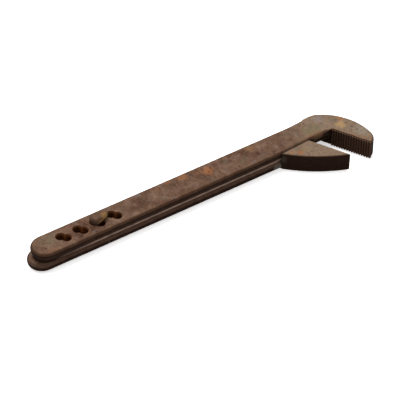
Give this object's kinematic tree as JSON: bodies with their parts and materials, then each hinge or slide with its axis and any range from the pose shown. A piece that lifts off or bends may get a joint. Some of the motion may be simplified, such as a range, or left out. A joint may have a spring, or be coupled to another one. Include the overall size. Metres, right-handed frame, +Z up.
{
  "type": "adjustable wrench",
  "caption": "Rusted two-lever gripping wrench: a toothed hook lever stacked on a flat-jawed lever, held by a headed stud in a row of slanted keyholes.",
  "frame": {"origin": "the stud's axis, where the two levers pivot, at the underside that the wrench rests on", "axes": "+X along the handle towards the jaws, +Y across the handle to the side of the hook's back, +Z up from the underside, along the stud to its head"},
  "size_m": [0.3065, 0.0571, 0.0242],
  "materials": {
    "hook_lever": "heavy dry rust",
    "jaw_lever": "heavy dry rust",
    "stud": "heavy dry rust"
  },
  "bodies": {
    "jaw_side": {"jaw_lever": "jaw_lever", "stud": "stud"},
    "hook_side": {"hook_lever": "hook_lever"}
  },
  "joints": [
    {"name": "lever_pivot", "type": "hinge", "parent": "jaw_side", "child": "hook_side", "pos_m": [0, 0, 0], "axis": [0, 0, 1], "range_deg": [0, 340]}
  ]
}
